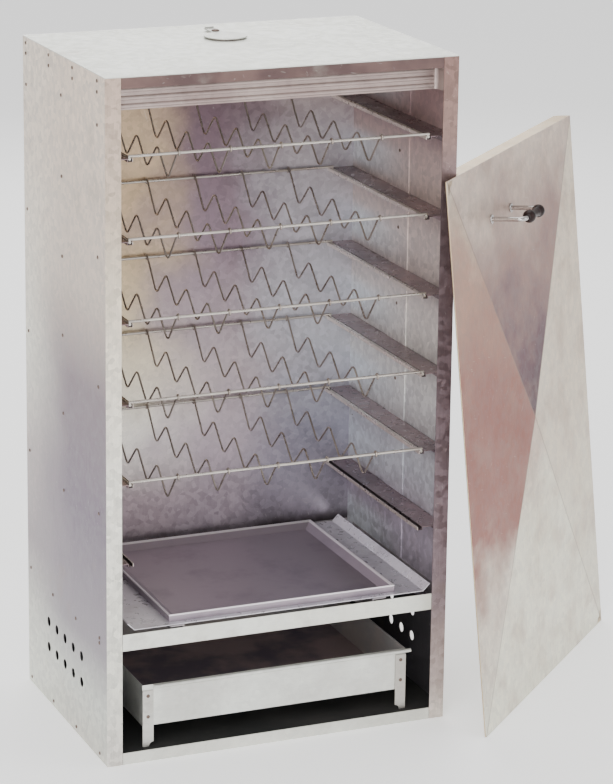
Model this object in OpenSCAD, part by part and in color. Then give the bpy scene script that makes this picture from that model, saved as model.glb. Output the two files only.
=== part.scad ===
// Galvanised sheet-steel smoking cabinet with a lift-off door.
// Origin at the centre of the base, +X to the right seen from the front, +Y to the back, +Z up.

/* [Cabinet] */
// Outside width
cabinet_w = 450; // [360:5:600]
// Outside depth
cabinet_d = 308; // [250:1:420]
// Height from the ground to the top sheet
cabinet_h = 850; // [830:5:1200]
// Thickness of the galvanised sheet
sheet = 1; // [0.8:0.1:1.4]
// Width of the flange folded round each front corner
front_flange = 19.5; // [14:0.5:24]
// Width of the flange folded behind each back corner
back_flange = 15; // [10:1:25]
// Height of the rail folded down from the front of the top sheet
top_rail_h = 14; // [10:1:30]
// Depth of the folds that hold the top sheet inside the sides and the back
top_fold_h = 26; // [18:1:40]
// Height of the floor sheet above the ground
floor_z = 15; // [12:1:30]
// Width of the fold that rests on the ground
base_fold = 12; // [8:1:20]
// Gap at a folded corner
fold_gap = 0.5; // [0.3:0.1:1]

/* [Fire shelf] */
// Height of the lower edge of the rail between firebox and chamber
mid_rail_z = 147; // [135:1:170]
// Height of that rail
mid_rail_h = 21; // [16:1:30]
// Width of the ledge behind the rail and along the walls
ledge_w = 15; // [10:1:18]
// Width of the ledge behind the front rail and at the back
cross_ledge_w = 20; // [15:1:30]
// Height that the bearers stand above the rail
bearer_rise = 3; // [2:0.5:6]
// Width of a bearer's top
bearer_w = 18; // [12:1:30]
// Distance of each bearer from the middle
bearer_x = 125; // [80:5:150]
// Thickness of a bearer
bearer_t = 1.5; // [1:0.1:2.5]
// Gap between the left corner flange and the shelf plate
plate_left_gap = 7.5; // [1:0.5:15]
// Gap between the right corner flange and the shelf plate
plate_right_gap = 1.5; // [1:0.5:15]
// Slope height of the plate's turned-up sides
plate_rim = 9; // [5:1:14]
// Smoke gap behind the plate
plate_back_gap = 16; // [8:1:30]
// Distance of the drip pan inside the plate's left edge
pan_left_inset = 57; // [20:1:80]
// Distance of the drip pan inside the plate's right edge
pan_right_inset = 45; // [20:1:80]
// Distance of the drip pan inside the plate's back edge
pan_back_inset = 10; // [4:1:40]
// Height of the drip pan
pan_h = 9; // [7:1:16]
// Width of the pan's sloping rim
pan_slope = 13; // [8:1:20]
// Setback of the pan behind the front face
pan_setback = 12; // [8:1:30]

/* [Racks] */
// Number of rack levels in the chamber
level_count = 6; // [3:1:6]
// Number of racks, filled from the top
rack_count = 5; // [1:1:5]
// Height of the lowest runner's ledge
first_level_z = 254.5; // [230:0.5:280]
// Height of the space above the top runner's ledge
top_bay_h = 98.5; // [90:0.5:140]
// Thickness of the rack's frame wire
frame_wire = 3.5; // [3:0.1:5]
// Thickness of the hook wire
hook_wire = 2.4; // [2:0.1:3]
// Distance from the rack's side to the corner flange's edge
rack_side_gap = 12.5; // [4:0.5:20]
// Setback of the rack's front wire behind the front face
rack_setback = 12; // [8:1:20]
// Distance from the back sheet to the rack's back wire
rack_back_gap = 6; // [5:0.5:20]
// Hook wires on a rack
hooks_per_rack = 5; // [2:1:7]
// Distance between two hook wires
hook_spacing = 65; // [30:1:70]
// Low points of a hook wire
hook_valleys = 4; // [2:1:6]
// Depth of a low point under the frame wire
valley_drop = 37.5; // [20:0.5:45]
// Depth of a high point under the frame wire
peak_drop = 6.5; // [4:0.5:12]
// Bend radius of the hook wire
hook_bend = 2.4; // [1.5:0.1:4]

/* [Runners] */
// Depth of the groove that the rack's side wire runs in
groove_d = 3; // [2:0.5:5]
// Play on each side of the wire in its groove
groove_play = 0.75; // [0.4:0.05:1.5]
// Height of the runner's leg on the wall
runner_leg = 14; // [8:1:20]
// Setback of the runners behind the front face
runner_setback = 9; // [5:1:20]
// Width of the upright strap in the middle of each wall
strap_w = 55; // [30:1:80]
// Distance of the strap behind the middle
strap_y = 6; // [-20:1:20]

/* [Fire tray] */
// Gap between a corner flange and the tray
tray_side_gap = 29.5; // [10:0.5:60]
// Gap between the tray's back legs and the back sheet
tray_back_gap = 33.5; // [5:0.5:80]
// Height of the tray's bottom above the floor sheet
tray_clear = 27; // [20:1:40]
// Height of the tray's walls
tray_h = 53; // [35:1:60]
// Setback of the tray behind the front face
tray_setback = 11; // [8:1:30]
// Width of a leg
tray_leg_w = 14; // [10:1:24]
// Thickness of a leg
tray_leg_t = 1.5; // [1:0.1:3]
// Overhang of the front lip past the right leg
lip_overhang = 6; // [2:1:10]
// Diameter of the rolled front lip
lip_d = 5; // [3:0.5:8]

/* [Air] */
// Diameter of a vent hole
vent_d = 12.5; // [8:0.5:18]
// Vent holes in a row
vent_columns = 5; // [3:1:6]
// Distance between vent holes along a row
vent_pitch_y = 32; // [24:1:36]
// Height between the two rows
vent_pitch_z = 34; // [24:1:36]
// Height of the lower row
vent_z = 75; // [60:1:90]
// Diameter of the flue hole in the top
flue_d = 44; // [30:1:48]
// Diameter of the damper disc
damper_d = 54; // [50:1:70]
// Thickness of the damper
damper_t = 1.2; // [1:0.1:2]
// Flue centre to the right of the middle
flue_x = 5; // [-60:1:60]
// Flue centre behind the middle
flue_y = 54; // [-20:1:58]
// Distance from the flue centre to the damper's pivot
damper_arm = 34; // [32:1:42]
// Distance from the pivot to the finger tab
damper_tail = 22; // [14:1:26]
// Diameter of the damper's pivot
pivot_d = 5; // [4:0.5:8]

/* [Lintel] */
// Height of the ribbed strip under the top rail
lintel_h = 28; // [20:1:40]
// Height of the strip's lower edge below the top of the cabinet
lintel_drop = 44; // [40:1:60]
// Setback of the strip behind the front face
lintel_setback = 26; // [18:1:40]
// Radius of the strip's bent ends
lintel_bend = 6; // [6:1:15]
// Diameter of a rib
lintel_rib_d = 5.6; // [4:0.2:8]
// Number of ribs
lintel_ribs = 3; // [1:1:4]

/* [Door] */
// Play between the door's rim and each side of the cabinet
door_play = 1.5; // [1:0.1:3]
// Thickness of the door's hemmed edge
door_hem = 3; // [2.5:0.1:6]
// Width of the hem folded in behind the edge
door_lip = 8; // [5:1:15]
// Depth of the hook flange along the door's top edge
hook_flange = 22; // [10:1:30]
// Gap between the end of the hook flange and the cabinet's side
hook_gap = 2; // [1.5:0.1:5]
// Cut across the hook flange's free corner
hook_cut = 6; // [2:1:10]
// Height of the shallow pyramid pressed into the face
door_crown = 8; // [2:0.5:12]
// Lean of the door, degrees from upright
door_lean = 5.75; // [2:0.05:8]
// Turn of the door away from its closed direction, degrees
door_turn = 43.5; // [30:0.1:60]
// Length of door edge that stands in front of the cabinet's corner
door_overlap = 40; // [30:0.1:80]
// Distance from the door's left edge to the middle of the handle
handle_x = 170; // [80:1:300]
// Distance from the door's top edge to the handle
handle_drop = 74; // [40:1:150]
// Distance between the handle's arms
handle_span = 70; // [60:1:120]
// Height of the handle's bar over the door's edge plane
handle_reach = 45; // [35:1:70]
// Thickness of the handle's rod
handle_rod = 6; // [5:0.5:8]
// Bend radius of the handle's rod
handle_bend = 8; // [5:0.5:8]
// Diameter of the grip's round ends
grip_d = 16.5; // [12:0.5:20]
// Diameter of the grip's waist
grip_waist = 11; // [9:0.5:14]
// Length of the grip
grip_l = 50; // [40:1:52]

/* [Rivets] */
// Diameter of a rivet's head
rivet_d = 4.6; // [3:0.2:7]
// Height of a rivet's head
rivet_h = 1.2; // [0.8:0.1:2]

/* [Clearances] */
// Gap under a piece that rests loosely
rest_gap = 0.2; // [0.1:0.05:0.5]
// Radial clearance of a pin in its hole
pin_clear = 0.06; // [0.03:0.01:0.1]
// Radial clearance of a rod through the door sheet
hole_clear = 0.15; // [0.05:0.05:0.5]

/* [Hidden] */
levels = [1 : level_count];
racks = [1 : rack_count];
$fn = 48;

half_w = cabinet_w / 2;
front_y = -cabinet_d / 2;
back_y = cabinet_d / 2;
wall_x = half_w - sheet;
back_sheet_y = back_y - 2 * sheet;
top_z = cabinet_h - sheet;
opening_x = half_w - front_flange;
rail_x = opening_x - fold_gap;
behind_flange_y = front_y + sheet;

ledge_z = mid_rail_z + sheet;
bearer_z = mid_rail_z + mid_rail_h + bearer_rise;
plate_z = bearer_z + rest_gap;
plate_front_y = front_y + 3 * sheet;
plate_back_y = back_sheet_y - plate_back_gap;
plate_left = plate_left_gap - opening_x;
plate_right = opening_x - plate_right_gap;
plate_half = (plate_right - plate_left) / 2;
plate_x = (plate_right + plate_left) / 2;
pan_z = plate_z + sheet + rest_gap;
pan_w = plate_right - plate_left - pan_left_inset - pan_right_inset;
pan_x = plate_x + (pan_left_inset - pan_right_inset) / 2;
pan_front_y = front_y + pan_setback;
pan_d = plate_back_y - pan_back_inset - pan_front_y;

level_pitch = (cabinet_h - top_bay_h - first_level_z) / (level_count - 1);
rack_half = opening_x - rack_side_gap;
side_wire_x = rack_half - frame_wire / 2;
rack_front_y = front_y + rack_setback;
rack_back_y = back_sheet_y - rack_back_gap;
// The cross wires lie on the side wires, let in a little where they are welded
weld_depth = 0.3;
side_wire_dz = -groove_d + frame_wire / 2 + rest_gap;
cross_wire_dz = side_wire_dz + frame_wire - weld_depth;
hook_step = (rack_back_y - rack_front_y) / (2 * hook_valleys);
loop_r = (frame_wire + hook_wire) / 2 + rest_gap;
hook_sides = 8;

runner_wall_x = wall_x - sheet;
groove_half = frame_wire / 2 + groove_play;

tray_w = 2 * (opening_x - tray_side_gap);
tray_front_y = front_y + tray_setback;
tray_d = back_sheet_y - tray_back_gap - tray_leg_t - tray_front_y;
tray_z = floor_z + tray_clear;
tray_top_z = tray_z + tray_h;
tray_foot_z = floor_z + rest_gap;

lintel_z = cabinet_h - lintel_drop;
lintel_y = front_y + lintel_setback;
lintel_arm_x = opening_x + 4;

damper_gap = 1.5;
damper_z = cabinet_h + damper_gap + rest_gap;
pivot_y = flue_y + damper_arm;

door_w = cabinet_w + 2 * (door_play + sheet);
door_h = cabinet_h - mid_rail_z + 2 * door_play;
door_touch = 0.3;
handle_z = door_h - handle_drop;
bar_y = -door_hem - handle_reach;
// How far the pressed face stands out where the handle is bolted on
handle_swell = door_crown * handle_drop / (door_h / 2);
door_face_y = -door_hem - handle_swell;

function level_z(i) = first_level_z + (level_count - i) * level_pitch;
function even(first, last, count) = [for (k = [0 : count - 1]) first + (last - first) * k / (count - 1)];

module flip(side) {
    mirror([side < 0 ? 1 : 0, 0, 0]) children();
}

// A block given by its lowest and highest corners
module block(low, high) {
    translate(low) cube(high - low);
}

module vent_holes() {
    for (row = [0, 1], column = [0 : vent_columns - 1])
        translate([half_w - sheet / 2, vent_y(column), vent_z + row * vent_pitch_z])
            rotate([0, 90, 0])
                cylinder(d = vent_d, h = 3 * sheet, center = true);
}

// The rows are centred on the strap
function vent_y(column) = strap_y + (column - (vent_columns - 1) / 2) * vent_pitch_y;

module side_panel(side) {
    color("gainsboro") flip(side) difference() {
        linear_extrude(top_z)
            polygon([
                [opening_x, front_y],
                [half_w, front_y],
                [half_w, back_y],
                [half_w - back_flange, back_y],
                [half_w - back_flange, back_y - sheet],
                [wall_x, back_y - sheet],
                [wall_x, behind_flange_y],
                [opening_x, behind_flange_y]
            ]);
        vent_holes();
    }
}

module back_panel() {
    color("silver") block([-wall_x, back_sheet_y, 0], [wall_x, back_y - sheet, top_z]);
}

module top_panel() {
    fold_y = back_sheet_y - sheet;
    color("lightgray") difference() {
        union() {
            block([-half_w, front_y, top_z], [half_w, back_y, cabinet_h]);
            block([-rail_x, front_y, cabinet_h - top_rail_h], [rail_x, behind_flange_y, top_z]);
            block([-wall_x, fold_y, cabinet_h - top_fold_h], [wall_x, back_sheet_y, top_z]);
            for (side = [-1, 1])
                flip(side)
                    block([wall_x - sheet, behind_flange_y, cabinet_h - top_fold_h],
                          [wall_x, back_sheet_y, top_z]);
        }
        translate([flue_x, flue_y, top_z - sheet]) cylinder(d = flue_d, h = 3 * sheet);
        translate([flue_x, pivot_y, top_z - sheet])
            cylinder(d = pivot_d + 2 * pin_clear, h = 3 * sheet);
    }
}

module floor_panel() {
    color("lightgray") {
        difference() {
            block([-wall_x, behind_flange_y, 0], [wall_x, back_sheet_y, floor_z]);
            block([sheet - wall_x, behind_flange_y - sheet, sheet],
                  [wall_x - sheet, back_sheet_y - sheet, floor_z - sheet]);
            block([base_fold - wall_x, front_y + base_fold, -sheet],
                  [wall_x - base_fold, back_sheet_y - base_fold, 2 * sheet]);
        }
        block([-rail_x, front_y, 0], [rail_x, behind_flange_y, floor_z]);
    }
}

module mid_rail() {
    color("whitesmoke") {
        block([-rail_x, front_y, mid_rail_z], [rail_x, behind_flange_y, mid_rail_z + mid_rail_h]);
        block([-wall_x, behind_flange_y, mid_rail_z],
              [wall_x, behind_flange_y + cross_ledge_w, ledge_z]);
    }
}

module rear_ledge() {
    color("silver") {
        block([-wall_x, back_sheet_y - sheet, mid_rail_z],
              [wall_x, back_sheet_y, mid_rail_z + mid_rail_h]);
        block([-wall_x, back_sheet_y - cross_ledge_w, mid_rail_z],
              [wall_x, back_sheet_y - sheet, ledge_z]);
    }
}

module side_ledge(side) {
    first_y = behind_flange_y + cross_ledge_w;
    last_y = back_sheet_y - cross_ledge_w;
    color("silver") flip(side) {
        block([wall_x - sheet, first_y, mid_rail_z], [wall_x, last_y, mid_rail_z + mid_rail_h]);
        block([wall_x - ledge_w, first_y, mid_rail_z], [wall_x - sheet, last_y, ledge_z]);
    }
}

module shelf_bearer(side) {
    first_y = behind_flange_y + fold_gap;
    last_y = back_sheet_y - sheet - fold_gap;
    color("gray") flip(side) {
        block([bearer_x, first_y, ledge_z], [bearer_x + bearer_t, last_y, bearer_z]);
        block([bearer_x, first_y, bearer_z - bearer_t], [bearer_x + bearer_w, last_y, bearer_z]);
    }
}

// Ribbed strip behind the top rail, with its ends bent forward onto the corner flanges
module lintel_strip() {
    bend_x = lintel_arm_x - lintel_bend;
    bend_y = lintel_y - lintel_bend;
    rib_pitch = lintel_h / lintel_ribs;
    color("silver") {
        translate([0, 0, lintel_z]) linear_extrude(lintel_h) {
            translate([-bend_x, lintel_y - sheet]) square([2 * bend_x, sheet]);
            for (side = [-1, 1])
                flip(side) {
                    translate([bend_x, bend_y]) intersection() {
                        difference() {
                            circle(lintel_bend);
                            circle(lintel_bend - sheet);
                        }
                        square(2 * lintel_bend);
                    }
                    translate([lintel_arm_x - sheet, behind_flange_y])
                        square([sheet, bend_y - behind_flange_y]);
                    translate([lintel_arm_x - sheet, behind_flange_y])
                        square([front_flange - 8, sheet]);
                }
        }
        for (k = [0 : lintel_ribs - 1])
            translate([0, lintel_y - sheet / 2, lintel_z + (k + 0.5) * rib_pitch])
                rotate([0, 90, 0])
                    cylinder(d = lintel_rib_d, h = 2 * bend_x, center = true);
    }
}

module strap(side) {
    color("silver") flip(side)
        block([wall_x - sheet, strap_y - strap_w / 2, mid_rail_z + mid_rail_h + fold_gap],
              [wall_x, strap_y + strap_w / 2, cabinet_h - top_fold_h - fold_gap]);
}

// Folded runner: wall leg, ledge, then a groove for the rack's side wire
module runner(side, i) {
    z = level_z(i);
    low_z = z - groove_d - sheet;
    groove_in = side_wire_x - groove_half;
    groove_out = side_wire_x + groove_half;
    color("gray") flip(side)
        translate([0, back_sheet_y, 0]) rotate([90, 0, 0])
            linear_extrude(back_sheet_y - front_y - runner_setback)
                polygon([
                    [runner_wall_x, z - runner_leg],
                    [runner_wall_x, z],
                    [groove_out, z],
                    [groove_out, z - groove_d],
                    [groove_in, z - groove_d],
                    [groove_in, z],
                    [groove_in - sheet, z],
                    [groove_in - sheet, low_z],
                    [groove_out + sheet, low_z],
                    [groove_out + sheet, z - sheet],
                    [runner_wall_x - sheet, z - sheet],
                    [runner_wall_x - sheet, z - runner_leg]
                ]);
}

// Domed rivet head standing on the plane z = 0
module rivet() {
    cylinder(d = rivet_d, h = rivet_h / 2);
    translate([0, 0, rivet_h / 2]) cylinder(d1 = rivet_d, d2 = rivet_d / 2, h = rivet_h / 2);
}

module wall_rivet(y, z) {
    translate([half_w, y, z]) rotate([0, 90, 0]) rivet();
}

// Rows of rivets on the outside of a side sheet
module side_rivets(side) {
    front_row = front_y + 28;
    back_row = back_y - 12;
    low = mid_rail_z + mid_rail_h / 2;
    color("gray") flip(side) {
        for (z = even(low, cabinet_h - 60, 5)) {
            wall_rivet(front_row, z);
            wall_rivet(back_row, z);
        }
        for (i = levels) wall_rivet(strap_y, level_z(i) + level_pitch / 2);
        for (y = even(front_row, back_row, 4)) {
            wall_rivet(y, floor_z / 2);
            wall_rivet(y, cabinet_h - 8);
            wall_rivet(y, cabinet_h - 21);
        }
        for (y = even(front_row, front_row + 2 * (back_row - front_row) / 3, 3))
            wall_rivet(y, mid_rail_z + 4);
    }
}

module rivets_back() {
    color("gray")
        for (side = [-1, 1], z = even(floor_z / 2, cabinet_h - 8, 7))
            translate([side * (half_w - back_flange / 2), back_y, z]) rotate([-90, 0, 0]) rivet();
}

// Rivets on the straps, between the runners
module rivets_inside() {
    color("dimgray")
        for (side = [-1, 1], i = [2 : level_count])
            flip(side)
                translate([wall_x - sheet, strap_y, level_z(i) + level_pitch / 2])
                    rotate([0, -90, 0])
                        rivet();
}

module rack_frame(i) {
    z = level_z(i);
    length = rack_back_y - rack_front_y;
    color("gainsboro") {
        for (side = [-1, 1])
            translate([side * side_wire_x, rack_front_y - frame_wire / 2, z + side_wire_dz])
                rotate([-90, 0, 0])
                    cylinder(d = frame_wire, h = length + frame_wire);
        for (y = [rack_front_y, rack_back_y])
            translate([-rack_half, y, z + cross_wire_dz])
                rotate([0, 90, 0])
                    cylinder(d = frame_wire, h = 2 * rack_half);
    }
}

// Route of one hook wire in its upright plane, as [y, z] from the front wire's centre
loop_steps = 5;
loop_open = 250;
loop_leave = 45;
function on_loop(angle) = loop_r * [cos(angle), sin(angle)];
function turn(points, k) = points[k] + hook_bend * unit(points[k - 1] - points[k]);
function leave(points, k) = points[k] + hook_bend * unit(points[k + 1] - points[k]);
function unit(v) = v / norm(v);
zigzag = [for (k = [0 : 2 * hook_valleys])
    [k * hook_step, k == 0 || k == 2 * hook_valleys ? 0 : k % 2 == 1 ? -valley_drop : -peak_drop]];
front_loop = [for (k = [0 : loop_steps]) on_loop(loop_open + (loop_leave - loop_open) * k / loop_steps)];
back_loop = [for (k = [loop_steps : -1 : 0])
    [2 * hook_valleys * hook_step - front_loop[k][0], front_loop[k][1]]];
bends = [for (k = [1 : 2 * hook_valleys - 1]) each [turn(zigzag, k), leave(zigzag, k)]];
hook_path = concat(front_loop, bends, back_loop);

function side_of(a, b) = let (d = unit(b - a)) [-d[1], d[0]];
function mitre(path, k) = let (
        before = k == 0 ? side_of(path[0], path[1]) : side_of(path[k - 1], path[k]),
        after = k == len(path) - 1 ? before : side_of(path[k], path[k + 1]),
        middle = unit(before + after)
    ) middle / (middle * before);

// Round wire swept along a route in the YZ plane
module swept_wire(path, d) {
    rings = len(path);
    points = [for (k = [0 : rings - 1], s = [0 : hook_sides - 1])
        let (a = 360 * s / hook_sides, m = mitre(path, k) * cos(a) * d / 2)
            [sin(a) * d / 2, path[k][0] + m[0], path[k][1] + m[1]]];
    walls = [for (k = [0 : rings - 2], s = [0 : hook_sides - 1])
        let (t = (s + 1) % hook_sides, a = k * hook_sides, b = a + hook_sides)
            [a + s, a + t, b + t, b + s]];
    last = (rings - 1) * hook_sides;
    polyhedron(points, concat(
        walls,
        [[for (s = [hook_sides - 1 : -1 : 0]) s]],
        [[for (s = [0 : hook_sides - 1]) last + s]]
    ));
}

module rack_hooks(i) {
    color("silver")
        for (k = [0 : hooks_per_rack - 1])
            translate([(k - (hooks_per_rack - 1) / 2) * hook_spacing, rack_front_y,
                       level_z(i) + cross_wire_dz])
                swept_wire(hook_path, hook_wire);
}

// Loose plate over the fire, with both sides turned up
module shelf_plate() {
    half = plate_half;
    flat_half = half - plate_rim;
    slant = sheet * tan(22.5);
    color("silver")
        translate([plate_x, plate_back_y, plate_z]) rotate([90, 0, 0])
            linear_extrude(plate_back_y - plate_front_y)
                polygon([
                    [-flat_half, 0],
                    [flat_half, 0],
                    [half, plate_rim],
                    [half - sheet * sin(45), plate_rim + sheet * sin(45)],
                    [flat_half - slant, sheet],
                    [slant - flat_half, sheet],
                    [sheet * sin(45) - half, plate_rim + sheet * sin(45)],
                    [-half, plate_rim]
                ]);
}

// Frustum with level ends, from the size at the bottom to the size at the top
module frustum(low, high, z0, z1) {
    thin = 0.01;
    hull() {
        translate([-low[0] / 2, -low[1] / 2, z0]) cube([low[0], low[1], thin]);
        translate([-high[0] / 2, -high[1] / 2, z1 - thin]) cube([high[0], high[1], thin]);
    }
}

// Pressed pan: level bottom, sloping sides, edges folded down into a skirt
module drip_pan() {
    rim = [pan_w - 2 * sheet, pan_d - 2 * sheet];
    inner = [pan_w - 2 * pan_slope, pan_d - 2 * pan_slope];
    run = (pan_slope - sheet) / (pan_h - sheet);
    under = inner + 0.6 * sheet * [1, 1];
    color("slategray")
        translate([pan_x, pan_front_y + pan_d / 2, pan_z])
            difference() {
                translate([-pan_w / 2, -pan_d / 2, 0]) cube([pan_w, pan_d, pan_h]);
                frustum(inner, rim, sheet, pan_h + 0.01);
                difference() {
                    translate([-rim[0] / 2, -rim[1] / 2, -sheet])
                        cube([rim[0], rim[1], pan_h]);
                    frustum(under, under + 2 * run * pan_h * [1, 1], 0, pan_h);
                }
            }
}

module fire_tray() {
    half = tray_w / 2;
    lip_left = tray_leg_w - half;
    lip_right = half + lip_overhang;
    color("lightgray") {
        difference() {
            block([-half, tray_front_y, tray_z], [half, tray_front_y + tray_d, tray_top_z]);
            block([sheet - half, tray_front_y + sheet, tray_z + sheet],
                  [half - sheet, tray_front_y + tray_d - sheet, tray_top_z + sheet]);
        }
        translate([lip_left, tray_front_y + sheet / 2 - lip_d / 2, tray_top_z - lip_d / 2])
            rotate([0, 90, 0])
                cylinder(d = lip_d, h = lip_right - lip_left);
    }
}

// Flat leg with its foot narrowed by a round notch
module tray_leg() {
    top = tray_top_z - lip_d - 2 * sheet - tray_foot_z;
    rotate([90, 0, 0]) linear_extrude(tray_leg_t) difference() {
        square([tray_leg_w, top]);
        translate([tray_leg_w, 0]) circle(tray_leg_w * 0.42);
    }
}

module fire_tray_legs() {
    half = tray_w / 2;
    color("gainsboro")
        for (side = [-1, 1]) flip(-side) {
            translate([-half, tray_front_y, tray_foot_z]) tray_leg();
            translate([-half, tray_front_y + tray_d + tray_leg_t, tray_foot_z]) tray_leg();
        }
}

module fire_tray_rivets() {
    x = (tray_w - tray_leg_w) / 2;
    color("dimgray")
        for (side = [-1, 1], z = [tray_z + 12, tray_top_z - 14])
            translate([side * x, tray_front_y - tray_leg_t, z]) rotate([90, 0, 0]) rivet();
}

module damper_plate() {
    tab_w = 12;
    tab_h = 3;
    neck_w = 14;
    tail_y = pivot_y + damper_tail;
    color("lightgray") {
        difference() {
            union() {
                translate([flue_x, flue_y, damper_z]) cylinder(d = damper_d, h = damper_t);
                block([flue_x - neck_w / 2, flue_y, damper_z],
                      [flue_x + neck_w / 2, tail_y, damper_z + damper_t]);
            }
            translate([flue_x, pivot_y, damper_z - damper_t])
                cylinder(d = pivot_d + 2 * pin_clear, h = 3 * damper_t);
        }
        block([flue_x - tab_w / 2, tail_y - damper_t, damper_z],
              [flue_x + tab_w / 2, tail_y, damper_z + tab_h]);
    }
}

module damper_pivot() {
    head_z = damper_z + damper_t + rest_gap;
    color("dimgray") translate([flue_x, pivot_y, 0]) {
        translate([0, 0, top_z - sheet]) cylinder(d = pivot_d, h = head_z - top_z + 2 * sheet);
        translate([0, 0, cabinet_h]) cylinder(d = 2.4 * pivot_d, h = damper_gap);
        translate([0, 0, head_z]) cylinder(d = 2 * pivot_d, h = sheet);
        translate([0, 0, head_z + sheet]) cylinder(d1 = 2 * pivot_d, d2 = pivot_d, h = sheet);
    }
}

// Stands the door on the ground, leaning with its top edge on the cabinet's front corner.
// The door itself is drawn upright with its back at y = 0 and its left edge at x = 0.
module lean_door() {
    away = [sin(door_turn), -cos(door_turn)];
    along = [cos(door_turn), sin(door_turn)];
    corner = [half_w, front_y] + door_touch * away;
    spot = corner - door_overlap * along + door_h * sin(door_lean) * away;
    translate([spot[0], spot[1], 0]) rotate([0, 0, door_turn]) rotate([-door_lean, 0, 0]) children();
}

// Face sheet pressed into a shallow four-sided pyramid
module door_face() {
    edge = [[0, 0], [door_w, 0], [door_w, door_h], [0, door_h]];
    outside = [for (p = edge) [p[0], -door_hem, p[1]]];
    inside = [for (p = edge) [p[0], sheet - door_hem, p[1]]];
    peak = [[door_w / 2, -door_hem - door_crown, door_h / 2],
            [door_w / 2, sheet - door_hem - door_crown, door_h / 2]];
    polyhedron(concat(outside, inside, peak), concat(
        [for (k = [0 : 3]) [(k + 1) % 4, k, 8]],
        [for (k = [0 : 3]) [4 + k, 4 + (k + 1) % 4, 9]],
        [for (k = [0 : 3]) [k, (k + 1) % 4, 4 + (k + 1) % 4, 4 + k]]
    ));
}

// Flange that hooks over the cabinet when the door is on, cut to clear its side as the door leans
module door_hook() {
    back = hook_flange - door_hem;
    shift = tan(door_turn);
    start = door_overlap + hook_gap / cos(door_turn);
    translate([0, 0, door_h - sheet]) linear_extrude(sheet)
        polygon([
            [start - door_hem * shift, -door_hem],
            [door_w, -door_hem],
            [door_w, back - hook_cut],
            [door_w - hook_cut, back],
            [start + back * shift, back]
        ]);
}

module door_panel() {
    color("tan") lean_door() difference() {
        union() {
            door_face();
            door_hook();
            difference() {
                block([0, -door_hem, 0], [door_w, 0, door_h]);
                block([sheet, -2 * door_hem, sheet], [door_w - sheet, -sheet, door_h - sheet]);
                block([door_lip, -2 * sheet, door_lip], [door_w - door_lip, sheet, door_h - door_lip]);
            }
        }
        for (side = [-1, 1])
            translate([handle_x + side * handle_span / 2, door_hem, handle_z])
                rotate([90, 0, 0])
                    cylinder(d = handle_rod + 2 * hole_clear, h = 2 * door_hem + 2 * door_crown);
    }
}

// Bow handle: two arms through the door sheet, bent into the bar that carries the grip
module door_handle() {
    arm_x = handle_span / 2;
    thread = 8;
    collar_t = 1.5;
    arm_l = door_face_y - bar_y - handle_bend + thread;
    color("silver") lean_door() translate([handle_x, 0, handle_z]) {
        for (side = [-1, 1]) flip(side) {
            translate([arm_x, door_face_y + thread, 0]) rotate([90, 0, 0])
                cylinder(d = handle_rod, h = arm_l);
            translate([arm_x - handle_bend, bar_y + handle_bend, 0]) rotate([0, 0, -90])
                rotate_extrude(angle = 90) translate([handle_bend, 0]) circle(d = handle_rod);
            translate([arm_x, door_face_y - rest_gap, 0]) rotate([90, 0, 0])
                cylinder(d = 2 * handle_rod, h = collar_t);
        }
        translate([0, bar_y, 0]) rotate([0, 90, 0])
            cylinder(d = handle_rod, h = handle_span - 2 * handle_bend, center = true);
    }
}

// Spool-shaped grip turned from hard plastic
module door_grip() {
    ball = grip_d / 2;
    waist = grip_waist / 2;
    middle = grip_l / 2 - ball;
    color("saddlebrown") lean_door() translate([handle_x, bar_y, handle_z]) rotate([0, 90, 0])
        difference() {
            union() {
                cylinder(d = grip_waist, h = 2 * middle, center = true);
                for (end = [-1, 1]) translate([0, 0, end * middle]) sphere(d = grip_d);
            }
            cylinder(d = handle_rod + 2 * pin_clear, h = 2 * grip_l, center = true);
        }
}

module handle_nuts() {
    nut_h = 4;
    nut_y = door_face_y + sheet + nut_h + rest_gap;
    color("gray") lean_door()
        for (side = [-1, 1])
            translate([handle_x + side * handle_span / 2, nut_y, handle_z])
                rotate([90, 0, 0])
                    difference() {
                        cylinder(d = 2 * handle_rod, h = nut_h, $fn = 6);
                        translate([0, 0, -1]) cylinder(d = handle_rod + 2 * pin_clear, h = nut_h + 2);
                    }
}

side_panel(-1);  // side_panel_left
side_panel(1);  // side_panel_right
back_panel();
top_panel();
floor_panel();
mid_rail();
rear_ledge();
side_ledge(-1);  // side_ledge_left
side_ledge(1);  // side_ledge_right
shelf_bearer(-1);  // shelf_bearer_left
shelf_bearer(1);  // shelf_bearer_right
lintel_strip();
strap(-1);  // strap_left
strap(1);  // strap_right
for (i = levels) runner(-1, i);
for (i = levels) runner(1, i);
side_rivets(-1);  // rivets_left
side_rivets(1);  // rivets_right
rivets_back();
rivets_inside();
for (i = racks) rack_frame(i);
for (i = racks) rack_hooks(i);
shelf_plate();
drip_pan();
fire_tray();
fire_tray_legs();
fire_tray_rivets();
damper_plate();
damper_pivot();
door_panel();
door_handle();
door_grip();
handle_nuts();
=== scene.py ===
# Visual model of a galvanised cabinet smoker with hook racks and a lift-off door.
import math

import bmesh
import bpy
from mathutils import Matrix, Vector


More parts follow.
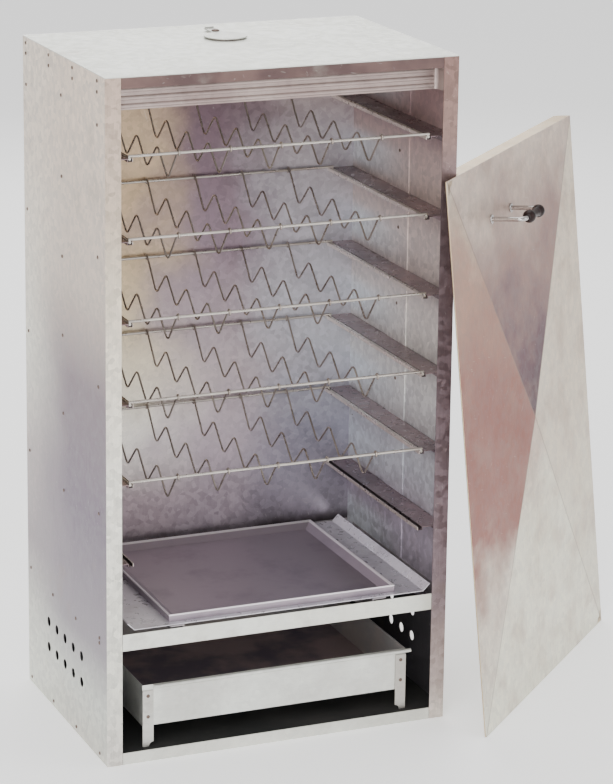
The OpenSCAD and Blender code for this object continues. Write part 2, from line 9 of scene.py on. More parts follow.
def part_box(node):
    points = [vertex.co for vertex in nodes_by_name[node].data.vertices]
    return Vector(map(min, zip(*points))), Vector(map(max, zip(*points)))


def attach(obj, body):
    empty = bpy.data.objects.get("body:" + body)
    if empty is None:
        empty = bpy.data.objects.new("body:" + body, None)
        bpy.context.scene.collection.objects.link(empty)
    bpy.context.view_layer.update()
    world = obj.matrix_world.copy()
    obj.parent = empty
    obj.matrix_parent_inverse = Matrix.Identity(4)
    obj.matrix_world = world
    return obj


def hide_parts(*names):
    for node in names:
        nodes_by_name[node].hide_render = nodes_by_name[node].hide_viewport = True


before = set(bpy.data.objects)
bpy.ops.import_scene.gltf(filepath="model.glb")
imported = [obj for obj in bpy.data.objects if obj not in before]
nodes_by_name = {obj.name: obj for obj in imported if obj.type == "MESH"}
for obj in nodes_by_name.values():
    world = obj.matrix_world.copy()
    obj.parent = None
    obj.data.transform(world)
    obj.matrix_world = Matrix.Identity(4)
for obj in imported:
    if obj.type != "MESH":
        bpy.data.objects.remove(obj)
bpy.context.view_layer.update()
scene = bpy.context.scene
MM = 0.001

# sizes of the CAD model, in metres
HALF_WIDTH, HALF_DEPTH, HEIGHT, SHEET = 0.225, 0.154, 0.85, 1 * MM
DOOR_W, DOOR_H, DOOR_HEM = 455 * MM, 706 * MM, 3 * MM
FIRST_LEVEL, PITCH, LEVEL_COUNT, RACK_COUNT = 0.2545, 0.0994, 6, 5
GROOVE = (0.1885, 0.1940)
TRAY_SIDE, TRAY_FRONT, TRAY_BACK, TRAY_FLOOR = 0.1751, -0.1421, 0.1161, 0.0425

# ---------------------------------------------------------------- camera and light

AZIMUTH, ELEVATION, ROLL = (math.radians(a) for a in (-22.171, 14.271, 0.513))
CAMERA_PLACE = (-1.3553, -3.4012, 1.4947)
FOCAL_LENGTH, SENSOR, SHIFT = 139.75, 36, (0.0605, -0.1517)
WORLD_STRENGTH = 0.88
WORLD_STOPS = ((0.40, (0.62, 0.60, 0.59, 1)), (0.58, (1, 1, 1, 1)))


def aim_camera():
    """Camera solved from the corners of the cabinet in the photo."""
    back = Vector((math.sin(AZIMUTH) * math.cos(ELEVATION),
                   -math.cos(AZIMUTH) * math.cos(ELEVATION),
                   math.sin(ELEVATION)))
    right = (-back).cross(Vector((0, 0, 1))).normalized()
    up = right.cross(-back)
    turned_right = math.cos(ROLL) * right + math.sin(ROLL) * up
    turned_up = math.cos(ROLL) * up - math.sin(ROLL) * right
    lens = bpy.data.cameras.new("camera")
    lens.lens = FOCAL_LENGTH
    lens.sensor_width = SENSOR
    lens.shift_x, lens.shift_y = SHIFT
    lens.clip_end = 50
    camera = bpy.data.objects.new("camera", lens)
    scene.collection.objects.link(camera)
    turn = Matrix((turned_right, turned_up, back)).transposed().to_4x4()
    camera.matrix_world = Matrix.Translation(CAMERA_PLACE) @ turn
    scene.camera = camera


def soft_light(name, place, target, size, power, colour=(1, 1, 1)):
    lamp = bpy.data.lights.new(name, "AREA")
    lamp.shape = "RECTANGLE"
    lamp.size, lamp.size_y = size
    lamp.energy = power
    lamp.color = colour
    lamp_object = bpy.data.objects.new(name, lamp)
    scene.collection.objects.link(lamp_object)
    away = Vector(place) - Vector(target)
    turn = away.to_track_quat("Z", "Y").to_matrix().to_4x4()
    lamp_object.matrix_world = Matrix.Translation(place) @ turn


def light_studio():
    """Grey below the horizon, white above it, and five soft lamps."""
    world = bpy.data.worlds.new("studio")
    world.use_nodes = True
    sky = Shader(world.node_tree)
    height = sky.node("ShaderNodeSeparateXYZ")
    sky.put(height.inputs[0], sky.node("ShaderNodeTexCoord").outputs["Generated"])
    share = sky.node("ShaderNodeMapRange")
    sky.put(share.inputs["From Min"], -1)
    sky.put(share.inputs["Value"], height.outputs["Z"])
    background = sky.tree.nodes["Background"]
    sky.put(background.inputs["Color"], sky.ramp(share.outputs["Result"], WORLD_STOPS))
    sky.put(background.inputs["Strength"], WORLD_STRENGTH)
    scene.world = world
    middle = (0, 0, 0.4)
    soft_light("key_light", (-2.2, -2.6, 2.6), middle, (1.8, 1.8), 66, (1, 0.985, 0.95))
    soft_light("fill_light", (2.6, -2.2, 1.5), middle, (1.6, 2.0), 22, (0.95, 0.97, 1))
    soft_light("front_light", (-1.1, -3.6, 1.0), (0, 0, 0.45), (1.4, 1.6), 50)
    soft_light("top_light", (0.2, 0.5, 3.2), middle, (2.2, 2.2), 40)
    soft_light("back_light", (0.8, 3.0, 1.8), middle, (2.0, 1.6), 30)


# ---------------------------------------------------------------- shader tools


def srgb(red, green, blue):
    """Screen colour, 0 to 255, as a linear one."""
    def channel(value):
        value /= 255
        return value / 12.92 if value <= 0.04045 else ((value + 0.055) / 1.055) ** 2.4
    return (channel(red), channel(green), channel(blue), 1)


def rich(colour, amount=1.15):
    """Screen colour pushed away from its own grey, as a linear one."""
    grey = sum(colour) / 3
    return srgb(*(max(0, min(255, grey + (value - grey) * amount)) for value in colour))


class Shader:
    """Short ways to add nodes to a material or to a node group."""

    def __init__(self, tree):
        self.tree = tree

    def put(self, socket, value):
        if isinstance(value, bpy.types.NodeSocket):
            self.tree.links.new(value, socket)
        elif value is not None:
            socket.default_value = value

    def node(self, kind, **settings):
        made = self.tree.nodes.new(kind)
        for key, value in settings.items():
            setattr(made, key, value)
        return made

    def math(self, operation, a, b=None, c=None, clamp=False):
        made = self.node("ShaderNodeMath", operation=operation, use_clamp=clamp)
        for socket, value in zip(made.inputs, (a, b, c)):
            self.put(socket, value)
        return made.outputs[0]

    def rise(self, value, low, high, first=0.0, last=1.0):
        """Smooth step from first to last while value goes from low to high."""
        made = self.node("ShaderNodeMapRange", interpolation_type="SMOOTHSTEP")
        for name, number in (("Value", value), ("From Min", low), ("From Max", high),
                             ("To Min", first), ("To Max", last)):
            self.put(made.inputs[name], number)
        return made.outputs["Result"]

    def mix(self, share, a, b, blend="MIX"):
        made = self.node("ShaderNodeMix", data_type="RGBA", blend_type=blend)
        self.put(made.inputs[0], share)
        self.put(made.inputs[6], a)
        self.put(made.inputs[7], b)
        return made.outputs[2]

    def shaded(self, colour, tone, amount):
        """Colour made lighter or darker by how far tone lies from a half."""
        factor = self.math("MULTIPLY_ADD", self.math("SUBTRACT", tone, 0.5), amount, 1.0)
        grey = self.node("ShaderNodeCombineColor")
        for channel in range(3):
            self.put(grey.inputs[channel], factor)
        return self.mix(1.0, colour, grey.outputs[0], "MULTIPLY")

    def ramp(self, value, stops):
        made = self.node("ShaderNodeValToRGB")
        elements = made.color_ramp.elements
        while len(elements) < len(stops):
            elements.new(0.5)
        for element, (position, colour) in zip(elements, stops):
            element.position = position
            element.color = colour
        self.put(made.inputs["Fac"], value)
        return made.outputs["Color"]

    def noise(self, vector, scale, detail=3.0, roughness=0.55):
        made = self.node("ShaderNodeTexNoise")
        self.put(made.inputs["Vector"], vector)
        for name, number in (("Scale", scale), ("Detail", detail), ("Roughness", roughness)):
            self.put(made.inputs[name], number)
        return made.outputs["Fac"]

    def stretch(self, vector, scale, place=(0, 0, 0), turn=(0, 0, 0)):
        made = self.node("ShaderNodeMapping")
        self.put(made.inputs["Vector"], vector)
        made.inputs["Scale"].default_value = scale
        made.inputs["Location"].default_value = place
        made.inputs["Rotation"].default_value = turn
        return made.outputs["Vector"]

    def group(self, name, **inputs):
        made = self.node("ShaderNodeGroup")
        made.node_tree = bpy.data.node_groups[name]
        for key, value in inputs.items():
            self.put(made.inputs[key.replace("_", " ")], value)
        return made.outputs


def new_group(name, inputs, outputs):
    """Empty node group with named sockets; returns its tools, its inputs and its output node."""
    tree = bpy.data.node_groups.new(name, "ShaderNodeTree")
    for label, kind, value in inputs:
        socket = tree.interface.new_socket(label, in_out="INPUT", socket_type=kind)
        if value is not None:
            socket.default_value = value
    for label, kind in outputs:
        tree.interface.new_socket(label, in_out="OUTPUT", socket_type=kind)
    tools = Shader(tree)
    return tools, tools.node("NodeGroupInput").outputs, tools.node("NodeGroupOutput").inputs


FLOAT, COLOUR, VECTOR = "NodeSocketFloat", "NodeSocketColor", "NodeSocketVector"


def make_spangle():
    """Zinc crystals: patches of slightly different grey with a fine grain; Height is plain noise."""
    s, given, out = new_group("zinc_spangle", [
        ("Vector", VECTOR, None), ("Crystal Size", FLOAT, 0.007), ("Contrast", FLOAT, 0.2),
        ("Colour", COLOUR, (0.6, 0.6, 0.6, 1))],
        [("Colour", COLOUR), ("Shade", FLOAT), ("Height", FLOAT)])
    bend = s.node("ShaderNodeTexNoise")
    s.put(bend.inputs["Vector"], given["Vector"])
    bend.inputs["Scale"].default_value = 110
    bend.inputs["Detail"].default_value = 2
    shifted = s.node("ShaderNodeVectorMath", operation="MULTIPLY_ADD")
    s.put(shifted.inputs[0], bend.outputs["Color"])
    shifted.inputs[1].default_value = (0.0022, 0.0022, 0.0022)
    s.put(shifted.inputs[2], given["Vector"])
    cells = s.node("ShaderNodeTexVoronoi", feature="F1")
    s.put(cells.inputs["Vector"], shifted.outputs[0])
    s.put(cells.inputs["Scale"], s.math("DIVIDE", 1.0, given["Crystal Size"]))
    tone = s.node("ShaderNodeSeparateColor")
    s.put(tone.inputs[0], cells.outputs["Color"])
    fine = s.noise(given["Vector"], 420, 2)
    shade = s.math("ADD", s.math("MULTIPLY", tone.outputs[0], 0.65), s.math("MULTIPLY", fine, 0.35))
    s.put(out["Colour"], s.shaded(given["Colour"], shade, given["Contrast"]))
    s.put(out["Shade"], shade)
    s.put(out["Height"], s.noise(given["Vector"], 190, 2))


def make_streaks():
    """Fine rolling marks and run marks along one direction."""
    s, given, out = new_group("rolling_marks", [
        ("Vector", VECTOR, None), ("Colour", COLOUR, (0.6, 0.6, 0.6, 1)), ("Strength", FLOAT, 0.15)],
        [("Colour", COLOUR), ("Mask", FLOAT)])
    broad = s.noise(given["Vector"], 26, 4, 0.6)
    fine = s.noise(given["Vector"], 150, 2, 0.5)
    mask = s.math("ADD", s.math("MULTIPLY", broad, 0.6), s.math("MULTIPLY", fine, 0.4))
    s.put(out["Colour"], s.shaded(given["Colour"], mask, s.math("MULTIPLY", given["Strength"], 2.0)))
    s.put(out["Mask"], mask)


def make_blotches():
    """Soft-edged stains where handling, heat or smoke has dulled the zinc."""
    s, given, out = new_group("dull_blotches", [
        ("Vector", VECTOR, None), ("Scale", FLOAT, 9.0), ("Cover", FLOAT, 0.4), ("Softness", FLOAT, 0.12),
        ("Colour", COLOUR, (0.6, 0.6, 0.6, 1)), ("Stain", COLOUR, (0.4, 0.35, 0.3, 1)),
        ("Strength", FLOAT, 0.5)],
        [("Colour", COLOUR)])
    cloud = s.noise(given["Vector"], given["Scale"], 5, 0.62)
    edge = s.math("SUBTRACT", 1.0, given["Cover"])
    mask = s.rise(cloud, s.math("SUBTRACT", edge, given["Softness"]), s.math("ADD", edge, given["Softness"]))
    share = s.math("MULTIPLY", mask, given["Strength"], clamp=True)
    s.put(out["Colour"], s.mix(share, given["Colour"], given["Stain"]))


def make_scratches():
    """Sparse hairline scratches in crossing directions."""
    s, given, out = new_group("hairlines", [
        ("Vector", VECTOR, None), ("Scale", FLOAT, 1.0)], [("Mask", FLOAT)])
    total = None
    for turn in (0.4, 1.25, 2.3):
        turned_vector = s.stretch(given["Vector"], (1, 1, 1), (0, 0, 0), (turn * 0.6, turn, turn * 0.8))
        wave = s.noise(s.stretch(turned_vector, (330, 330, 9), (turn, 0, 0)), given["Scale"], 1, 0.4)
        hit = s.rise(wave, 0.74, 0.80)
        total = hit if total is None else s.math("MAXIMUM", total, hit)
    s.put(out["Mask"], total)


def make_shadow_line():
    """Painted shade that is dark below a height and fades out above it."""
    s, given, out = new_group("shade_below_line", [
        ("Vector", VECTOR, None), ("Height", FLOAT, 0.15), ("Fade", FLOAT, 0.02),
        ("Colour", COLOUR, (0.6, 0.6, 0.6, 1)), ("Soot", COLOUR, (0.01, 0.01, 0.01, 1)),
        ("Strength", FLOAT, 1.0)],
        [("Colour", COLOUR)])
    place = s.node("ShaderNodeSeparateXYZ")
    s.put(place.inputs[0], given["Vector"])
    cloud = s.noise(given["Vector"], 14, 4)
    wavy = s.math("MULTIPLY_ADD", s.math("SUBTRACT", cloud, 0.5), given["Fade"], place.outputs["Z"])
    mask = s.rise(wavy, given["Height"], s.math("SUBTRACT", given["Height"], given["Fade"]))
    share = s.math("MULTIPLY", mask, given["Strength"], clamp=True)
    s.put(out["Colour"], s.mix(share, given["Colour"], given["Soot"]))


for make in (make_spangle, make_streaks, make_blotches, make_scratches, make_shadow_line):
    make()


class Finish(Shader):
    """A material under construction, with its Principled shader."""

    def __init__(self, name, vector="Object"):
        self.material = bpy.data.materials.new(name)
        self.material.use_nodes = True
        super().__init__(self.material.node_tree)
        self.shader = self.tree.nodes["Principled BSDF"]
        source = self.node("ShaderNodeTexCoord") if vector == "Object" else self.node("ShaderNodeUVMap")
        self.place = source.outputs[vector]
        parts = self.node("ShaderNodeSeparateXYZ")
        self.put(parts.inputs[0], self.place)
        self.x, self.y, self.z = parts.outputs

    def cloudy(self, cloud, low, high, first, second):
        """First colour to second while cloud goes from low to high."""
        return self.mix(self.rise(cloud, low, high), srgb(*first), srgb(*second))

    def inside(self, value, low, high, soft=0.0004):
        """1 where value lies between low and high."""
        up = self.rise(value, low - soft, low + soft)
        down = self.rise(value, high + soft, high - soft)
        return self.math("MULTIPLY", up, down)

    def done(self, colour, rough, metal=0.85, height=None, bump=0.1, distance=0.0006):
        self.put(self.shader.inputs["Base Color"], colour)
        self.put(self.shader.inputs["Roughness"], rough)
        self.put(self.shader.inputs["Metallic"], metal)
        if height is not None:
            made = self.node("ShaderNodeBump")
            made.inputs["Strength"].default_value = bump
            made.inputs["Distance"].default_value = distance
            self.put(made.inputs["Height"], height)
            self.put(self.shader.inputs["Normal"], made.outputs[0])
        return self.material


ALONG_X, ALONG_Y, ALONG_Z = (1.2, 40, 40), (40, 1.2, 40), (40, 40, 1.2)


def zinc(f, colour, crystals=0.007, contrast=0.22, along=ALONG_Z, streaks=0.14):
    """Spangle, rolling marks and hairlines over a colour; returns it with the spangle's outputs."""
    spangled = f.group("zinc_spangle", Vector=f.place, Crystal_Size=crystals, Contrast=contrast,
                       Colour=colour)
    rolled = f.group("rolling_marks", Vector=f.stretch(f.place, along), Colour=spangled["Colour"],
                     Strength=streaks)
    scratch = f.group("hairlines", Vector=f.place, Scale=1.0)["Mask"]
    lighter = f.mix(f.math("MULTIPLY", scratch, 0.14), rolled["Colour"], srgb(226, 224, 216))
    return lighter, spangled


def height_ramp(f, stops):
    """Colours by height in metres, up to the top of the cabinet."""
    return f.ramp(f.math("DIVIDE", f.z, HEIGHT), [(h / HEIGHT, rich(c)) for h, c in stops])


# painted shade inside the cabinet below these heights, under and behind the shelf plate
SHADOW_GREY = srgb(86, 83, 87)
SHADOW_TOP_SIDES, SHADOW_TOP_BACK = 0.158, 0.188


def side_finish(name, side):
    """Side sheet: outside, front flange and inside each coloured by height with painted reflections and
    shade.
    """
    f = Finish(name)
    # the colours by height below are painted reflections and shade on the zinc
    if side < 0:
        front = height_ramp(f, [(0.0, (204, 202, 194)), (0.07, (196, 198, 192)), (0.14, (142, 136, 142)),
                                (0.30, (118, 108, 120)), (0.46, (130, 118, 124)), (0.58, (196, 184, 174)),
                                (0.84, (222, 208, 194))])
        back = height_ramp(f, [(0.0, (216, 218, 208)), (0.10, (204, 204, 196)), (0.20, (158, 150, 152)),
                               (0.32, (182, 174, 172)), (0.45, (220, 218, 208)), (0.70, (224, 214, 202)),
                               (0.84, (228, 218, 206))])
        flange = height_ramp(f, [(0.0, (206, 202, 196)), (0.10, (216, 215, 206)), (0.35, (224, 222, 213)),
                                 (0.58, (214, 204, 188)), (0.68, (192, 178, 163)), (0.84, (186, 167, 155))])
        inner = height_ramp(f, [(0.15, (150, 144, 148)), (0.40, (170, 160, 150)), (0.84, (196, 184, 174))])
    else:
        front = height_ramp(f, [(0.0, (200, 198, 190)), (0.25, (170, 164, 162)), (0.55, (196, 192, 184)),
                                (0.84, (206, 202, 194))])
        back = height_ramp(f, [(0.0, (206, 208, 202)), (0.40, (178, 174, 172)), (0.84, (204, 200, 190))])
        # the right flange's dark stretch up to about 0.7 m is a painted reflection of the door leaning in
        # front of it
        flange = height_ramp(f, [(0.0, (206, 198, 190)), (0.05, (176, 164, 162)), (0.12, (164, 150, 150)),
                                 (0.16, (146, 132, 138)), (0.68, (114, 102, 106)), (0.75, (142, 120, 114)),
                                 (0.84, (136, 112, 106))])
        inner = height_ramp(f, [(0.15, (172, 162, 174)), (0.23, (196, 188, 200)), (0.30, (206, 208, 214)),
                                (0.44, (224, 222, 218)), (0.55, (212, 202, 198)), (0.66, (202, 186, 180)),
                                (0.76, (174, 150, 150)), (0.84, (150, 124, 126))])
        # in each bay between two runners: a painted reflection (pale sheen) low down, painted shade under
        # the runner above
        bay = f.math("FRACT", f.math("DIVIDE", f.math("SUBTRACT", f.z, FIRST_LEVEL), PITCH))
        painted_sheen = f.math("MULTIPLY", f.inside(bay, 0.06, 0.5, 0.12), f.rise(f.y, -0.06, 0.13))
        inner = f.mix(f.math("MULTIPLY", painted_sheen, 0.75), inner, srgb(226, 234, 240))
        inner = f.mix(f.math("MULTIPLY", f.rise(bay, 0.6, 1.0), 0.5), inner, srgb(104, 86, 92))
    drift = f.math("MULTIPLY_ADD", f.noise(f.place, 5, 3), 0.16, f.y)
    outside = f.mix(f.rise(drift, 0.04, 0.25), front, back)
    on_flange = f.rise(f.y, -HALF_DEPTH + 0.0012, -HALF_DEPTH + 0.0008)
    within = f.rise(f.math("ABSOLUTE", f.x), HALF_WIDTH - 0.0003, HALF_WIDTH - 0.0007)
    within = f.math("MULTIPLY", within, f.rise(f.y, HALF_DEPTH - 0.0004, HALF_DEPTH - 0.0008))
    colour = f.mix(within, outside, inner)
    colour = f.mix(on_flange, colour, flange)
    # painted shade on the inside walls below the shelf plate
    shadowed_low = f.group("shade_below_line", Vector=f.place, Height=SHADOW_TOP_SIDES, Fade=0.03, Colour=colour,
                    Soot=SHADOW_GREY)
    hidden = f.math("MULTIPLY", within, f.math("SUBTRACT", 1.0, on_flange))
    colour = f.mix(hidden, colour, shadowed_low["Colour"])
    worn = f.group("dull_blotches", Vector=f.place, Scale=16.0, Cover=0.36, Softness=0.07, Colour=colour,
                   Stain=srgb(150, 136, 126), Strength=0.22)
    colour, spangled = zinc(f, worn["Colour"], contrast=0.5, streaks=0.36)
    rough = f.rise(spangled["Shade"], 0.0, 1.0, 0.34, 0.56)
    metal = f.rise(hidden, 0.0, 1.0, 0.8, 0.55)
    return f.done(colour, rough, metal, spangled["Height"], 0.12)


def plain_zinc(name, tone, second, metal=0.85, rough=(0.34, 0.52), crystals=0.007, contrast=0.2,
               stain=(150, 140, 132), cover=0.36):
    """Zinc sheet of one general colour that drifts to a second one."""
    f = Finish(name)
    colour = f.cloudy(f.noise(f.place, 6.5, 4), 0.34, 0.66, tone, second)
    worn = f.group("dull_blotches", Vector=f.place, Scale=22.0, Cover=cover, Softness=0.08, Colour=colour,
                   Stain=srgb(*stain), Strength=0.25)
    colour, spangled = zinc(f, worn["Colour"], crystals, contrast, ALONG_X)
    return f.done(colour, f.rise(spangled["Shade"], 0.0, 1.0, *rough), metal)


def top_finish():
    """Top sheet: pale and even above, painted shade on the folded front edge, darker underneath."""
    f = Finish("top_sheet")
    above = f.cloudy(f.noise(f.place, 5, 4), 0.36, 0.66, (224, 225, 218), (214, 215, 207))
    # painted shade on the folded front face
    fold = f.cloudy(f.noise(f.place, 18, 3), 0.35, 0.65, (116, 94, 90), (96, 78, 77))
    under = f.rise(f.z, HEIGHT - 0.0009, HEIGHT - 0.0015)
    front = f.rise(f.y, -HALF_DEPTH + 0.0011, -HALF_DEPTH + 0.0008)
    colour = f.mix(under, above, srgb(120, 104, 100))
    colour = f.mix(f.math("MULTIPLY", under, front), colour, fold)
    worn = f.group("dull_blotches", Vector=f.place, Scale=12.0, Cover=0.34, Softness=0.1, Colour=colour,
                   Stain=srgb(196, 190, 178), Strength=0.3)
    colour, spangled = zinc(f, worn["Colour"], 0.008, 0.08, ALONG_X, 0.06)
    return f.done(colour, f.rise(spangled["Shade"], 0.0, 1.0, 0.38, 0.55), 0.8, spangled["Height"])


def back_finish():
    """Back sheet: painted reflections inside in soft bands, plain zinc outside."""
    f = Finish("back_sheet")
    # the bands by height and from left to right are painted reflections, with a painted highlight low on the
    # left
    left = height_ramp(f, [(0.16, (168, 156, 162)), (0.23, (186, 172, 176)), (0.31, (238, 234, 226)),
                           (0.40, (216, 206, 186)), (0.50, (200, 182, 152)), (0.60, (190, 168, 140)),
                           (0.72, (188, 166, 140)), (0.82, (198, 174, 150))])
    middle = height_ramp(f, [(0.16, (170, 160, 168)), (0.28, (178, 166, 174)), (0.40, (176, 164, 168)),
                             (0.56, (138, 122, 132)), (0.74, (108, 90, 98)), (0.84, (142, 118, 112))])
    right = height_ramp(f, [(0.16, (132, 124, 132)), (0.30, (150, 148, 160)), (0.42, (186, 186, 194)),
                            (0.58, (176, 174, 182)), (0.72, (164, 158, 162)), (0.84, (186, 166, 156))])
    drift = f.math("MULTIPLY_ADD", f.noise(f.place, 7, 4), 0.2, f.x)
    colour = f.mix(f.rise(drift, 0.02, 0.12), left, middle)
    colour = f.mix(f.rise(drift, 0.14, 0.26), colour, right)
    # painted shade on the back wall below and behind the shelf plate
    colour = f.group("shade_below_line", Vector=f.place, Height=SHADOW_TOP_BACK, Fade=0.02, Colour=colour,
                     Soot=srgb(66, 58, 62))["Colour"]
    outer = f.rise(f.y, HALF_DEPTH - 0.0014, HALF_DEPTH - 0.0011)
    colour = f.mix(outer, colour, srgb(196, 196, 190))
    colour, spangled = zinc(f, colour, 0.006, 0.42)
    return f.done(colour, f.rise(spangled["Shade"], 0.0, 1.0, 0.28, 0.44), 0.6)


def runner_finish():
    """Runner: smoky ledge, painted shade in the wire groove and a painted highlight on the bright lip."""
    f = Finish("runner_sheet")
    across = f.math("ABSOLUTE", f.x)
    ledge = f.cloudy(f.noise(f.place, 9, 4), 0.35, 0.65, (150, 130, 132), (112, 96, 100))
    # painted shade in the wire groove
    colour = f.mix(f.inside(across, *GROOVE), ledge, srgb(64, 52, 54))
    # painted highlight on the lip inboard of the groove
    colour = f.mix(f.rise(across, GROOVE[0] + 0.0003, GROOVE[0] - 0.0003), colour, srgb(206, 194, 186))
    colour, spangled = zinc(f, colour, 0.006, 0.3, ALONG_Y, 0.3)
    return f.done(colour, f.rise(spangled["Shade"], 0.0, 1.0, 0.24, 0.42), 0.7)


def floor_finish():
    """Floor sheet: bright folded front, black with soot on top."""
    f = Finish("floor_sheet")
    cloud = f.noise(f.place, 9, 4)
    bright = f.cloudy(cloud, 0.35, 0.65, (222, 222, 214), (206, 206, 198))
    colour, spangled = zinc(f, bright, 0.007, 0.14, ALONG_X)
    behind = f.rise(f.y, -HALF_DEPTH + 0.0006, -HALF_DEPTH + 0.0012)
    colour = f.mix(behind, colour, f.cloudy(cloud, 0.4, 0.62, (22, 23, 22), (40, 38, 37)))
    return f.done(colour, f.rise(behind, 0.0, 1.0, 0.42, 0.85), f.rise(behind, 0.0, 1.0, 0.85, 0.1),
                  spangled["Height"])


def pan_finish():
    """Blue-grey rolled steel with dried fat marks."""
    f = Finish("pan_steel")
    rolled = f.group("rolling_marks", Vector=f.stretch(f.place, (1.5, 60, 60)), Colour=srgb(160, 148, 158),
                     Strength=0.16)
    marked = f.group("dull_blotches", Vector=f.place, Scale=13.0, Cover=0.42, Softness=0.1,
                     Colour=rolled["Colour"], Stain=srgb(130, 120, 130), Strength=0.5)
    scratch = f.group("hairlines", Vector=f.place, Scale=1.3)["Mask"]
    colour = f.mix(f.math("MULTIPLY", scratch, 0.3), marked["Colour"], srgb(170, 164, 172))
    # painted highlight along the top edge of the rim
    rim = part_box("drip_pan")[1][2]
    colour = f.mix(f.rise(f.z, rim - 0.0022, rim - 0.0014), colour, srgb(232, 226, 230))
    return f.done(colour, f.rise(rolled["Mask"], 0.2, 0.8, 0.26, 0.42), 0.65, rolled["Mask"], 0.08)


def tray_finish():
    """Bright zinc outside, burnt brown-black inside."""
    f = Finish("tray_steel")
    cloud = f.noise(f.place, 12, 4)
    bright = f.cloudy(cloud, 0.35, 0.65, (226, 228, 222), (208, 208, 202))
    colour, spangled = zinc(f, bright, 0.006, 0.16, ALONG_X)
    wide = f.inside(f.x, -TRAY_SIDE, TRAY_SIDE)
    deep = f.inside(f.y, TRAY_FRONT, TRAY_BACK)
    high = f.rise(f.z, TRAY_FLOOR, TRAY_FLOOR + 0.0003)
    inner = f.math("MULTIPLY", f.math("MULTIPLY", wide, deep), high)
    colour = f.mix(inner, colour, f.cloudy(cloud, 0.38, 0.62, (98, 88, 96), (140, 122, 120)))
    rough = f.mix(inner, f.rise(spangled["Shade"], 0.0, 1.0, 0.34, 0.5), (0.8, 0.8, 0.8, 1))
    metal = f.rise(inner, 0.0, 1.0, 0.85, 0.1)
    return f.done(colour, rough, metal, spangled["Height"])


def door_finish():
    """Door sheet: four facets between creased diagonals, each with its own painted reflection and painted
    shade along the creases.
    """
    f = Finish("door_sheet", "UV")
    real = f.stretch(f.place, (DOOR_W, DOOR_H, 1))
    across = f.math("SUBTRACT", f.x, 0.5)
    upward = f.math("SUBTRACT", f.y, 0.5)
    wide, tall = f.math("ABSOLUTE", across), f.math("ABSOLUTE", upward)
    cloud = f.noise(real, 9, 4)
    uneven = f.math("MULTIPLY_ADD", f.math("SUBTRACT", cloud, 0.5), 0.45, f.y)

    def facet(toward, aside):
        return f.rise(f.math("SUBTRACT", toward, aside), -0.004, 0.004)

    def by_height(stops):
        return f.ramp(uneven, [(h, rich(c)) for h, c in stops])

    # each facet's colours up its height are painted reflections
    left = by_height([(0.0, (214, 212, 200)), (0.20, (206, 198, 186)), (0.34, (140, 100, 92)),
                      (0.58, (138, 98, 90)), (0.80, (168, 138, 124)), (1.0, (202, 190, 174))])
    top = by_height([(0.5, (84, 62, 68)), (0.66, (104, 80, 86)), (0.80, (148, 124, 118)),
                     (1.0, (204, 190, 178))])
    right = by_height([(0.0, (214, 212, 198)), (0.45, (208, 198, 182)), (0.8, (212, 200, 184)),
                       (1.0, (216, 206, 190))])
    low = by_height([(0.0, (222, 220, 206)), (0.3, (218, 214, 198)), (0.5, (196, 178, 166))])
    colour = f.mix(facet(f.math("MULTIPLY", across, -1.0), tall), low, left)
    colour = f.mix(facet(upward, wide), colour, top)
    colour = f.mix(facet(across, tall), colour, right)
    # painted shade along the creased diagonals
    crease = f.rise(f.math("ABSOLUTE", f.math("SUBTRACT", wide, tall)), 0.005, 0.001)
    colour = f.mix(f.math("MULTIPLY", crease, 0.45), colour, srgb(112, 92, 84))
    worn = f.group("dull_blotches", Vector=real, Scale=16.0, Cover=0.44, Softness=0.14, Colour=colour,
                   Stain=srgb(158, 130, 118), Strength=0.42)
    spangled = f.group("zinc_spangle", Vector=real, Crystal_Size=0.008, Contrast=0.3, Colour=worn["Colour"])
    rolled = f.group("rolling_marks", Vector=f.stretch(real, (22, 2.2, 1)), Colour=spangled["Colour"],
                     Strength=0.34)
    scratch = f.group("hairlines", Vector=real, Scale=1.0)["Mask"]
    colour = f.mix(f.math("MULTIPLY", scratch, 0.12), rolled["Colour"], srgb(232, 228, 220))
    rough = f.rise(f.math("ADD", f.math("MULTIPLY", cloud, 0.5), f.math("MULTIPLY", spangled["Shade"], 0.5)),
                   0.2, 0.8, 0.36, 0.56)
    return f.done(colour, rough, 0.8, spangled["Height"], 0.12)


def wire_finish(name, tone, dark, rough=(0.22, 0.4), metal=0.92, strength=0.5):
    """Plated wire or rod, tarnished in patches."""
    f = Finish(name)
    cloud = f.noise(f.place, 60, 3)
    tarnish = f.group("dull_blotches", Vector=f.place, Scale=16.0, Cover=0.45, Softness=0.16,
                      Colour=srgb(*tone), Stain=srgb(*dark), Strength=strength)
    fine = f.noise(f.place, 700, 2)
    return f.done(tarnish["Colour"], f.rise(cloud, 0.3, 0.7, *rough), metal, fine, 0.06, 0.0002)


def grip_finish():
    """Dark brown moulded grip with faint swirls and a worn sheen."""
    f = Finish("brown_grip")
    swirl = f.noise(f.place, 90, 4, 0.6)
    colour = f.cloudy(swirl, 0.3, 0.7, (18, 8, 8), (36, 18, 16))
    f.shader.inputs["Specular IOR Level"].default_value = 0.22
    return f.done(colour, f.rise(swirl, 0.2, 0.8, 0.30, 0.44), 0.0, swirl, 0.05, 0.0002)


